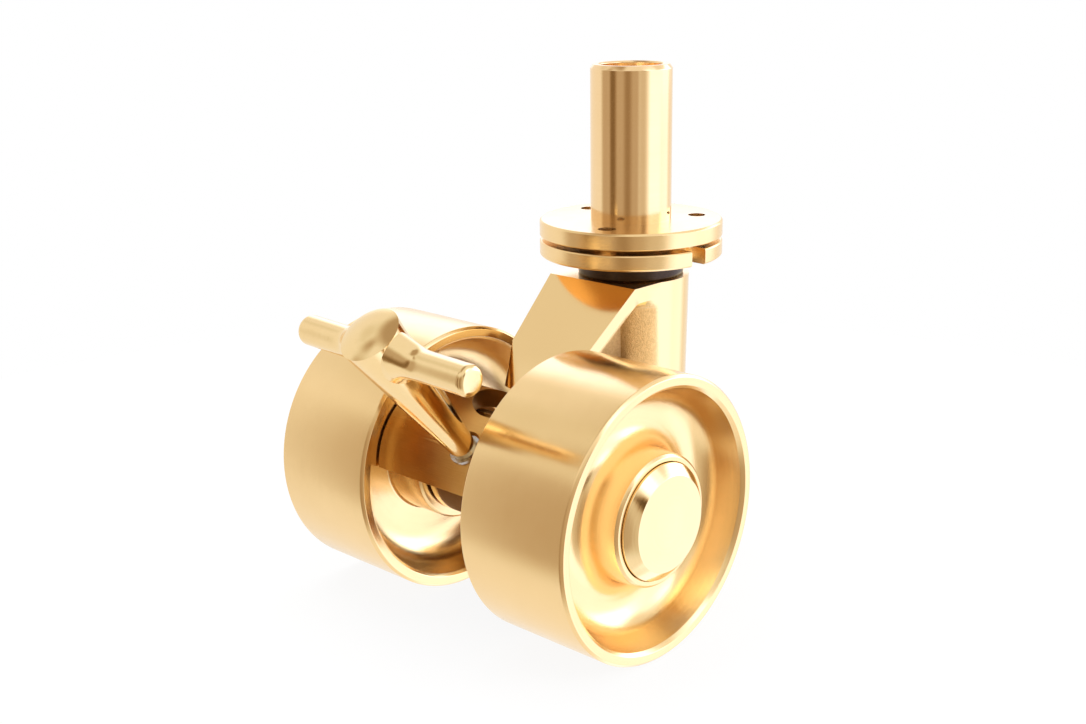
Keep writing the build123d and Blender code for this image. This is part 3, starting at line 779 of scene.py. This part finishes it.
@dataclass
class SwivelHead(Part):
    """Swivel plate with its driver's notch, and the dark ring below."""

    radius: float = 34.7
    top: float = -7.9
    bottom: float = -13.8
    fork_top: float = -21.0
    sleeve_depth: float = 8.0
    sleeve_radius: float = 12.0
    pin_bore: float = 9.05
    ring_radius: float = 20.1
    lower_edge: float = 0.7
    upper_edge: float = 0.5
    notch_angle: float = -4.0
    notch_width: float = 7.2
    notch_from: float = 25.5
    notch_to: float = 60.0

    def build(self) -> None:
        """Turn both pieces and cut the notch."""
        r, a, b, s = self.radius, self.top, self.bottom, self.sleeve_radius
        foot, pin = self.fork_top - self.sleeve_depth, self.pin_bore
        e, u = self.lower_edge, self.upper_edge
        plate = STEM_AXIS.lathe("swivel_plate_turned", rounded([
            (foot, pin, 0), (foot, s, 0), (b, s, 0), (b, r - e, 0.3), (b + e, r, 0.3),
            (a - u, r, 0.3), (a, r - u, 0.3), (a, pin, 0), (foot, pin, 0)]), 256)
        apply_tool(plate, self.notch_tool(), "DIFFERENCE", SMOOTH_LIMIT)
        self.place(plate, "fork", "polished_brass", PLATE_FINISH.material(), "swivel_plate")
        c, k = self.fork_top, self.ring_radius
        ring = STEM_AXIS.lathe("spacer_turned", rounded([
            (c, s, 0), (c, k - 0.5, 0), (c + 0.6, k, 0.3), (b - 1.4, k, 0.3),
            (b - 1.1, k - 0.4, 0.2), (b - 0.8, k, 0.2), (b, k, 0), (b, s, 0), (c, s, 0)]), 192)
        self.place(ring, "fork", "dark_spacer", SPACER_FINISH.material(), "spacer_ring")

    def notch_tool(self) -> bpy.types.Object:
        """Round-ended slot that reaches out through the plate's rim.

        The outline is a half circle round the slot's inner end and a straight stretch to beyond
        the rim, carried from below the plate to above it and turned to its plan angle.

        Returns:
            The closed solid.
        """
        half = self.notch_width / 2
        sweep = np.linspace(np.pi / 2, 3 * np.pi / 2, 24)
        arc = np.stack([self.notch_from + half * np.cos(sweep), half * np.sin(sweep)], -1)
        outline = np.concatenate([[(self.notch_to, half)], arc, [(self.notch_to, -half)]])
        turn = np.radians(self.notch_angle)
        spin = np.array([[np.cos(turn), np.sin(turn)], [-np.sin(turn), np.cos(turn)]])
        flat = outline @ spin
        middle = np.broadcast_to(flat.mean(0), flat.shape)
        levels = (self.bottom - 1, self.bottom - 1, self.top + 1, self.top + 1)
        rows = [np.c_[ring, np.full(len(ring), level)]
                for ring, level in zip((middle, flat, flat, middle), levels)]
        made = mesh_from_grid("notch_tool", np.stack(rows))
        tidy_mesh(made)
        return made


@dataclass
class Fork(Part):
    """The cast fork, with its edges broken."""

    def build(self) -> None:
        """Copy the casting and dress it."""
        casting = merged_copy("fork_casting", "fork_dressed", 0.35)
        self.place(casting, "fork", "cast_brass", FORK_FINISH.material(), "fork_casting")


# Distance from the wheel's inner face, radius and fillet at each corner
WHEEL_CORNERS = (
    (0.0, 9.0, 0), (0.0, 22.2, 0.3), (0.8, 23.0, 0.3), (17.7, 23.0, 1.0), (17.7, 41.5, 12.0),
    (1.4, 45.2, 0.6), (0.0, 46.2, 0.4), (0.0, 49.0, 0.6), (1.0, 50.0, 0.6), (45.0, 50.0, 0.6),
    (46.0, 49.0, 0.6), (46.0, 46.4, 0.5), (44.6, 45.2, 0.6), (29.0, 40.0, 11.0),
    (29.0, 24.2, 7.0), (44.2, 23.0, 0.6), (45.2, 22.0, 0.6), (45.2, 20.6, 0.25),
    (42.0, 20.6, 0), (42.0, 14.5, 0), (28.0, 14.5, 0), (28.0, 9.0, 0), (0.0, 9.0, 0))
CAP_CORNERS = (
    (38.0, 0.0, 0), (38.0, 13.9, 0), (38.6, 14.5, 0), (42.0, 14.5, 0), (42.0, 20.35, 0),
    (45.9, 20.35, 0.5), (49.1, 16.6, 0.45), (49.1, 0.0, 0))


@dataclass
class Wheel(Part):
    """One solid wheel with its hub cap."""

    side: int = 1
    word: str = "right"

    def build(self) -> None:
        """Turn the wheel and its cap."""
        axis, body = wheel_axis(self.side), f"wheel_{self.word}"
        wheel = axis.lathe(f"wheel_turned_{self.word}", rounded(WHEEL_CORNERS, 7), 288)
        self.place(wheel, body, "wheel_brass", WHEEL_FINISH.material(), f"wheel_{self.word}")
        cap = axis.lathe(f"cap_turned_{self.word}", rounded(CAP_CORNERS), 192)
        self.place(cap, body, "polished_brass", CAP_FINISH.material(), f"hub_cap_{self.word}")


@dataclass
class BrakeShoe(Part):
    """Curved shoe over the hubs."""

    def build(self) -> None:
        """Copy the shoe with its edges broken and dress it."""
        shoe = merged_copy("brake_shoe", "shoe_dressed", 0.25)
        self.place(shoe, "shoe", "brushed_brass", SHOE_FINISH.material(), "brake_shoe")


@dataclass
class BrakeHandle(Part):
    """T-handle: tapered shank with a domed head, and a crossbar with flared roots."""

    length: float = 64.2
    foot_radius: float = 4.6
    head_radius: float = 10.8
    dome: float = 2.2
    stud_depth: float = 20.0
    stud_radius: float = 3.0
    bar_level: float = 54.0
    bar_radius: float = 5.3
    bar_half: float = 42.0
    bar_corner: float = 2.2
    root_start: float = 9.07
    root_end: float = 18.04
    root_ease: float = 0.9
    ease_rate: float = 9.0
    ease_limit: float = -0.6
    root_cover: float = 1.0
    root_drop: float = 0.7
    root_swell: float = 0.22
    rim_gap: float = 0.1
    flare_end: float = 16.0
    flare_run: float = 10.0
    flare_drop: float = 5.5
    flare_width: float = 1.2

    def build(self) -> None:
        """Make shank and bar, and join them."""
        shank = SCREW_AXIS.lathe("handle_turned", self.shank_outline(), 192)
        apply_tool(shank, self.bar(), "UNION", HANDLE_SMOOTH_LIMIT)
        self.place(shank, "handle", "polished_brass", HANDLE_FINISH.material(), "brake_handle")

    def shank_outline(self) -> np.ndarray:
        """Cone from foot to head, closed by a shallow sphere cap and bored for the stud.

        Returns:
            (axial, radial) points.
        """
        sphere = (self.head_radius ** 2 + self.dome ** 2) / (2 * self.dome)
        reach = np.arcsin(self.head_radius / sphere)
        angle = np.linspace(reach, 0, 24)
        cap = np.stack([self.length + self.dome - sphere + sphere * np.cos(angle),
                        sphere * np.sin(angle)], -1)
        s, d = self.stud_radius, self.stud_depth
        lower = rounded([(d, 0.0, 0), (d, s, 0), (0.0, s, 0), (0.0, self.foot_radius, 0.25),
                         (self.length, self.head_radius, 0)])
        return np.concatenate([lower[:-1], cap])

    def bar(self) -> bpy.types.Object:
        """Round bar whose roots rise to the head's rim.

        At distance x from the middle the section is an ellipse. Between root_end and root_start
        its top, bottom and width run straight from the bar's to the root's, the bend at
        root_end eased over a short stretch, and nothing rises past the rim. The easing is
        e / k log(1 + exp(k s / e)) of the share s of the way in. Inside flare_end the underside
        and the width swell with the square of the way in, as a hollow fillet.

        Returns:
            The closed surface.
        """
        half, radius, corner = self.bar_half, self.bar_radius, self.bar_corner
        turn = np.linspace(0, np.pi / 2, 10)
        end = np.stack([half - corner + corner * np.cos(turn),
                        radius - corner + corner * np.sin(turn)], -1)
        run = np.linspace(half - corner, 0, 150)[1:]
        right = np.concatenate([[(half, 0.0)], end, np.c_[run, np.full(len(run), radius)]])
        x = np.concatenate([right[:, 0], -right[::-1][1:, 0]])
        base = np.concatenate([right[:, 1], right[::-1][1:, 1]])
        ease, rate = self.root_ease, self.ease_rate
        ahead = (self.root_end - np.abs(x)) / (self.root_end - self.root_start)
        rise = np.clip(ease / rate * np.logaddexp(0, ahead * rate / ease), 0, 1)
        rise = np.where(ahead < self.ease_limit, 0.0, rise)
        reach = self.length + self.root_cover - self.bar_level - radius
        top = self.bar_level + base + rise * reach
        flare = np.clip((self.flare_end - np.abs(x)) / self.flare_run, 0, 1) ** 2
        bottom = self.bar_level - base - rise * self.root_drop - flare * self.flare_drop
        width = base + rise * self.root_swell * radius + flare * self.flare_width
        angle = np.linspace(0, 2 * np.pi, 128, endpoint=False)[None, :, None]
        middle = ((top + bottom) / 2)[:, None, None]
        height = ((top - bottom) / 2)[:, None, None]
        level = np.minimum(middle + height * np.cos(angle), self.length - self.rim_gap)
        grid = (FOOT + x[:, None, None] * CROSSBAR + level * SCREW_DIRECTION
                + width[:, None, None] * np.sin(angle) * CROSSWISE)
        made = mesh_from_grid("bar_surface", grid)
        tidy_mesh(made)
        return made


@dataclass
class InnerWorks(Part):
    """Solids that keep their own shape and get their finish here."""

    steel: tuple[str, ...] = (
        "king_pin", "king_washer", "king_nut", "upper_race", "lower_race", "thrust_balls",
        "plate_dowel", "axle", "axle_set_screw", "guide_pins", "disc_springs",
        "axle_washer_left", "axle_washer_right", "axle_nut_left", "axle_nut_right",
        "brake_stud", "stud_washer")
    bronze: tuple[str, ...] = (
        "upper_bush", "lower_bush", "wheel_bush_left", "wheel_bush_right", "ball_cage",
        "thrust_washer_left", "thrust_washer_right")
    brass: tuple[str, ...] = ("foot_cap",)
    lining: tuple[str, ...] = ("brake_lining_left", "brake_lining_right")

    def build(self) -> None:
        """Dress each group of solids."""
        for nodes, finish in ((self.steel, STEEL_FINISH), (self.bronze, BRONZE_FINISH),
                              (self.brass, STEM_FINISH), (self.lining, LINING_FINISH)):
            material = finish.material()
            for node in nodes:
                paint(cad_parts[node], material)
                LOG.info("%s: %s", node, finish.name)


# Studio

@dataclass(frozen=True)
class Card:
    """A patch of the room as the brass mirrors it.

    Angles are degrees: turn is measured from the camera's side of the object towards the
    camera's right, and lift from the horizon.
    """

    turn: float
    lift: float
    half_turn: float
    half_lift: float
    level: float
    soft_turn: float
    soft_lift: float

    def mask(self, graph: Graph, turn: bpy.types.NodeSocket,
             lift: bpy.types.NodeSocket) -> bpy.types.NodeSocket:
        """Where the card is seen: the product of two eased steps, in turn and in lift.

        Args:
            graph: the world's tree.
            turn: the direction's turn in degrees.
            lift: its lift in degrees.

        Returns:
            1 inside the card and 0 outside it.
        """
        aside = graph.math("RADIANS", graph.math("SUBTRACT", turn, self.turn))
        away = graph.math("DEGREES", graph.math("ARCCOSINE", graph.math("COSINE", aside)))
        above = graph.math("ABSOLUTE", graph.math("SUBTRACT", lift, self.lift))
        steps = ((away, self.half_turn, self.soft_turn), (above, self.half_lift, self.soft_lift))
        return graph.product(*(graph.remap(value, half + soft, half - soft, 0.0, 1.0, True)
                               for value, half, soft in steps))


@dataclass(frozen=True)
class Lamp:
    """A square soft box: millimetre place and aim, width in metres and power in watts."""

    name: str
    place: Triple
    aim: Triple
    width: float
    power: float


def stand(made: bpy.types.Object, place: Triple, right: np.ndarray, up: np.ndarray) -> None:
    """Put an object at a millimetre place, turned to its right and up directions."""
    turn = Matrix(np.stack([right, up, np.cross(right, up)], -1).tolist()).to_4x4()
    made.matrix_world = Matrix.Translation(np.array(place) * MM) @ turn


@dataclass
class Studio:
    """Camera, floor, room and lamps."""

    position: Triple = (349.244, -417.345, 100.882)
    right: Triple = (0.7277229, 0.6857403, -0.0134030)
    up: Triple = (-0.1819628, 0.2118705, 0.9602086)
    lens: float = 47.943
    sensor_width: float = 36.0
    clip: Pair = (0.01, 20.0)
    middle: float = -60.0
    floor_gap: float = 0.05
    floor_radius: float = 420.0
    floor_thickness: float = 2.0
    floor_glow: float = 0.90
    soft_boxes: tuple[Lamp, ...] = (
        Lamp("overhead", (-250.0, -150.0, 600.0), (0.0, -50.0, -60.0), 0.45, 2.2),
        Lamp("right_side", (650.0, 150.0, 120.0), (60.0, -60.0, -85.0), 0.40, 3.0),
    )
    cards: tuple[Card, ...] = (
        Card(180, 26, 18, 18, 1.66, 9, 9),
        Card(-115, 74, 75, 16, 0.50, 15, 8),
        Card(-118, 45, 14, 9, 0.86, 10, 6),
        Card(-88, 46, 9, 9, 0.52, 9, 8),
        Card(-24, -8, 42, 36, 0.58, 6, 14),
        Card(-14, -10, 9, 34, 0.36, 7, 14),
        Card(28, -8, 10, 36, 0.74, 6, 14),
        Card(-80, 0, 14, 30, 0.58, 7, 10),
        Card(-57, -8, 9, 30, 0.24, 6, 14),
        Card(68, -5, 23, 60, 1.56, 7, 18),
        Card(104, -8, 18, 40, 1.46, 9, 12),
        Card(56, 43, 14, 10, 2.40, 8, 8),
        Card(33, 22, 7, 9, 0.14, 4, 5),
        Card(114, 15, 26, 14, 2.80, 9, 7),
        Card(128, -64, 34, 12, 1.50, 14, 9),
    )

    def build(self) -> None:
        """Set up everything that isn't the castor."""
        self.camera()
        self.floor()
        self.room()
        self.lamps()
        bpy.context.scene.view_settings.view_transform = "Standard"

    def camera(self) -> None:
        """Camera at the photograph's place, angle and lens."""
        data = bpy.data.cameras.new("camera")
        data.sensor_width, data.sensor_fit = self.sensor_width, "HORIZONTAL"
        data.lens = self.lens
        data.clip_start, data.clip_end = self.clip
        made = new_object("camera", data)
        stand(made, self.position, np.array(self.right), np.array(self.up))
        bpy.context.scene.camera = made

    def floor(self) -> None:
        """Pale round floor that ends just beyond the castor's surroundings."""
        top, reach = FLOOR_LEVEL - self.floor_gap, self.floor_radius
        low = top - self.floor_thickness
        made = upright(0.0, self.middle).lathe(
            "floor", np.array([(top, 0.0), (top, reach), (low, reach), (low, 0.0)]), 96)
        made.visible_glossy = False
        material, graph = new_material("floor_white")
        seen = graph.add("LightPath").outputs["Is Camera Ray"]
        glow = graph.add("Emission", Strength=1.0, Color=rgba(WHITE))
        matt = graph.add("BsdfDiffuse", Color=(0.9, 0.9, 0.9, 1.0))
        graph.close(graph.mix(graph.math("MULTIPLY", seen, self.floor_glow), matt, glow))
        paint(made, material)

    def room(self) -> None:
        """White room, with the darker and brighter cards that the brass mirrors."""
        world = bpy.data.worlds.new("room")
        bpy.context.scene.world = world
        world.use_nodes = True
        graph = Graph(world.node_tree)
        level = self.mirrored(graph, graph.add("TexCoord").outputs["Generated"])
        seen = graph.add("LightPath").outputs["Is Glossy Ray"]
        glossy = graph.add("Background", Strength=level, Color=self.hue(graph, level))
        plain = graph.add("Background", Strength=1.0, Color=rgba(WHITE))
        graph.close(graph.mix(seen, plain, glossy), "OutputWorld")

    def mirrored(self, graph: Graph, way: bpy.types.NodeSocket) -> bpy.types.NodeSocket:
        """Brightness of the room in a direction.

        Starts from an even level and lets each card in turn pull it to the card's own level.

        Args:
            graph: the world's tree.
            way: unit direction.

        Returns:
            The level's socket.
        """
        ahead = np.array([self.position[0], self.position[1], 0.0])
        ahead[1] -= self.middle
        ahead /= np.linalg.norm(ahead)
        across = np.array([-ahead[1], ahead[0], 0.0])
        x = graph.vector("DOT_PRODUCT", way, tuple(across)).outputs[1]
        y = graph.vector("DOT_PRODUCT", way, tuple(ahead)).outputs[1]
        z = graph.add("SeparateXYZ", Vector=way).outputs[2]
        turn = graph.math("DEGREES", graph.math("ARCTAN2", x, y))
        lift = graph.math("DEGREES", graph.math("ARCSINE", z))
        level = graph.remap(lift, -30.0, -60.0, 1.0, 1.06)
        for card in self.cards:
            pull = graph.product(card.mask(graph, turn, lift),
                                 graph.math("SUBTRACT", card.level, level))
            level = graph.math("ADD", level, pull)
        return level

    def hue(self, graph: Graph, level: bpy.types.NodeSocket) -> bpy.types.NodeSocket:
        """Colour of the room at a brightness: brown in the dark, bluish in the glare.

        Args:
            graph: the world's tree.
            level: the room's brightness.

        Returns:
            The colour's socket.
        """
        green = graph.math("ADD", graph.remap(level, 0.25, 0.90, 0.64, 0.985),
                           graph.remap(level, 1.05, 2.40, 0.0, 0.20))
        blue = graph.math("ADD", graph.remap(level, 0.25, 0.95, 0.32, 0.97),
                          graph.remap(level, 1.05, 1.60, 0.0, 0.38))
        return graph.combine(1.0, green, blue)

    def lamps(self) -> None:
        """Soft boxes over the castor and at its right."""
        for lamp in self.soft_boxes:
            data = bpy.data.lights.new(lamp.name, "AREA")
            data.shape, data.size, data.energy = "SQUARE", lamp.width, lamp.power
            made = new_object(lamp.name, data)
            made.visible_glossy = False
            back = np.array(lamp.place) - np.array(lamp.aim)
            back /= np.linalg.norm(back)
            side = np.cross([0.0, 0, 1], back)
            side /= np.linalg.norm(side)
            stand(made, lamp.place, side, np.cross(back, side))


def main() -> None:
    """Build every sub-assembly in order, then the studio."""
    logging.basicConfig(level=logging.INFO, format="%(name)s %(message)s")
    for part in (LegSide(), SwivelHead(), Fork(), Wheel(side=-1, word="left"),
                 Wheel(side=1, word="right"), BrakeShoe(), BrakeHandle(), InnerWorks()):
        part.build()
    Studio().build()


if __name__ == "__main__":
    main()
